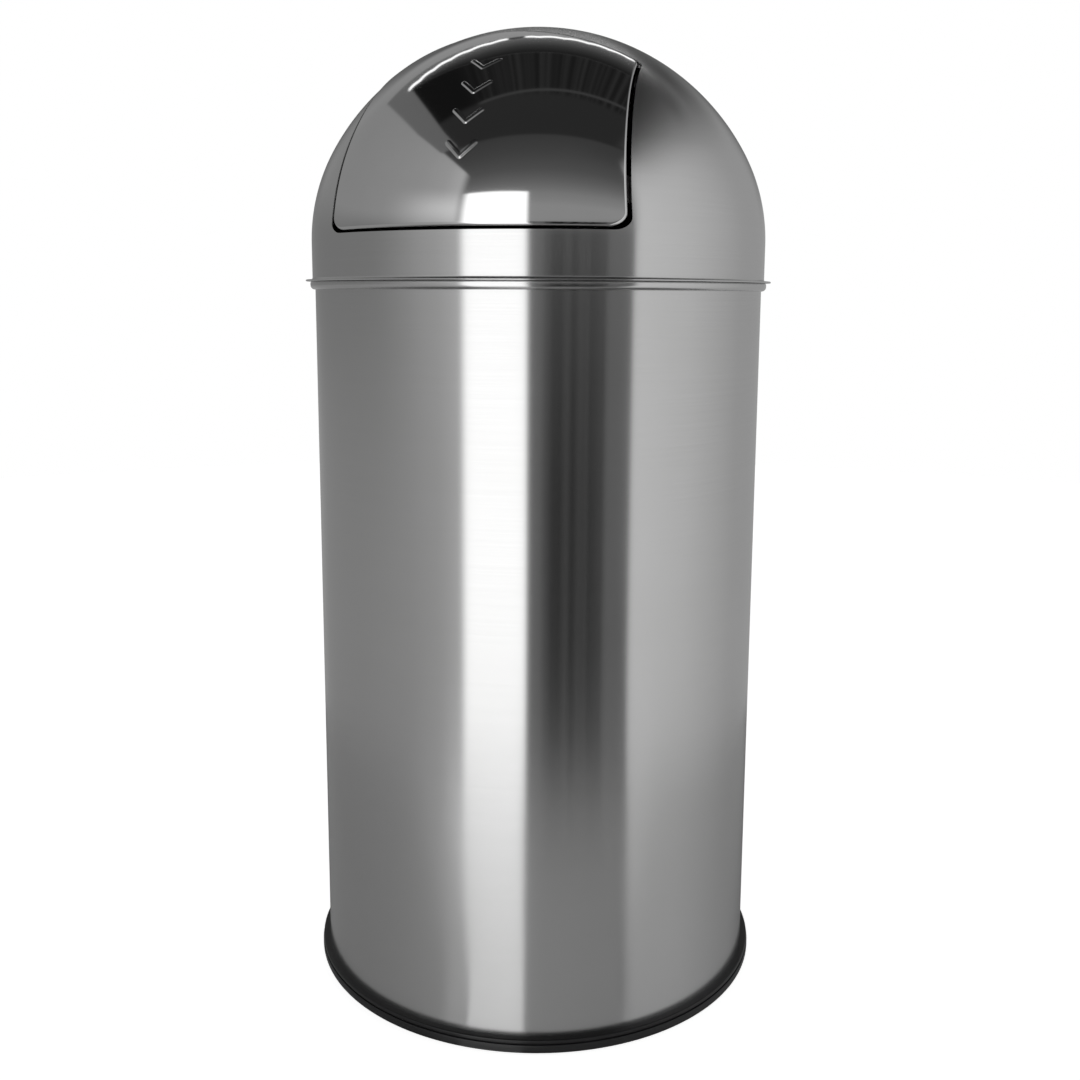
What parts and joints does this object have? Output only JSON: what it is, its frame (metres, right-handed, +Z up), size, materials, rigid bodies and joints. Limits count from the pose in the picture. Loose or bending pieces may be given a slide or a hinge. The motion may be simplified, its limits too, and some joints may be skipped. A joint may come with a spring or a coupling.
{
  "type": "push-flap waste bin",
  "caption": "Round free-standing steel waste bin with a domed lift-off lid, a sprung push flap in its front and a lift-out liner with a bail handle.",
  "frame": {"origin": "centre of the base ring's underside, on the floor", "axes": "+Z up; -Y is the front, where the flap faces; +X is to the right of someone looking along +Y at the flap"},
  "size_m": [0.3644, 0.3644, 0.7429],
  "materials": {
    "body_shell": "satin, fingerprint-proof",
    "floor_pan": "plain rolled",
    "base_ring": "fine moulded texture",
    "lid_dome": "satin, fingerprint-proof",
    "lid_collar": "plain rolled",
    "flap_panel": "mirror polished",
    "lug_left": "plain rolled",
    "lug_right": "plain rolled",
    "lug_bush_left": "natural acetal",
    "lug_bush_right": "natural acetal",
    "hinge_bracket_left": "plain rolled",
    "hinge_bracket_right": "plain rolled",
    "hinge_rod": "drawn",
    "rod_caps": "moulded",
    "return_spring_right": "drawn spring wire",
    "return_spring_left": "drawn spring wire",
    "stop_tab_left": "plain rolled",
    "stop_tab_right": "plain rolled",
    "stop_buffer_left": "moulded",
    "stop_buffer_right": "moulded",
    "liner_shell": "galvanised",
    "liner_floor": "galvanised",
    "liner_ear_left": "galvanised",
    "liner_ear_right": "galvanised",
    "ear_rivets": "plain",
    "bail_wire": "galvanised wire"
  },
  "bodies": {
    "body": {"body_shell": "body_shell", "floor_pan": "floor_pan", "base_ring": "base_ring"},
    "lid": {"lid_dome": "lid_dome", "lid_collar": "lid_collar", "hinge_bracket_left": "hinge_bracket_left", "hinge_bracket_right": "hinge_bracket_right", "hinge_rod": "hinge_rod", "rod_caps": "rod_caps", "return_spring_left": "return_spring_left", "return_spring_right": "return_spring_right"},
    "flap": {"flap_panel": "flap_panel", "lug_left": "lug_left", "lug_right": "lug_right", "lug_bush_left": "lug_bush_left", "lug_bush_right": "lug_bush_right", "stop_tab_left": "stop_tab_left", "stop_tab_right": "stop_tab_right", "stop_buffer_left": "stop_buffer_left", "stop_buffer_right": "stop_buffer_right"},
    "liner": {"liner_shell": "liner_shell", "liner_floor": "liner_floor", "liner_ear_left": "liner_ear_left", "liner_ear_right": "liner_ear_right", "ear_rivets": "ear_rivets"},
    "bail": {"bail_wire": "bail_wire"}
  },
  "joints": [
    {"name": "lid_lift", "type": "slide", "parent": "body", "child": "lid", "axis": [0, 0, 1], "range_m": [0, 1.2]},
    {"name": "flap_swing", "type": "hinge", "parent": "lid", "child": "flap", "pos_m": [0, -0.057, 0.68991], "axis": [1, 0, 0], "range_deg": [0, 60], "stiffness_Nm_per_rad": 0.45, "springref_deg": -68.75, "deforming": ["return_spring_left", "return_spring_right"]},
    {"name": "liner_lift", "type": "slide", "parent": "body", "child": "liner", "axis": [0, 0, 1], "range_m": [0, 0.62]},
    {"name": "bail_swing", "type": "hinge", "parent": "liner", "child": "bail", "pos_m": [0, 0, 0.5033], "axis": [1, 0, 0], "range_deg": [0, 92]}
  ],
  "couplings": [
    {"joint": "liner_lift", "follows": "lid_lift", "ratio": 0.5},
    {"joint": "bail_swing", "follows": "lid_lift", "rad_per_m": 1.309}
  ]
}
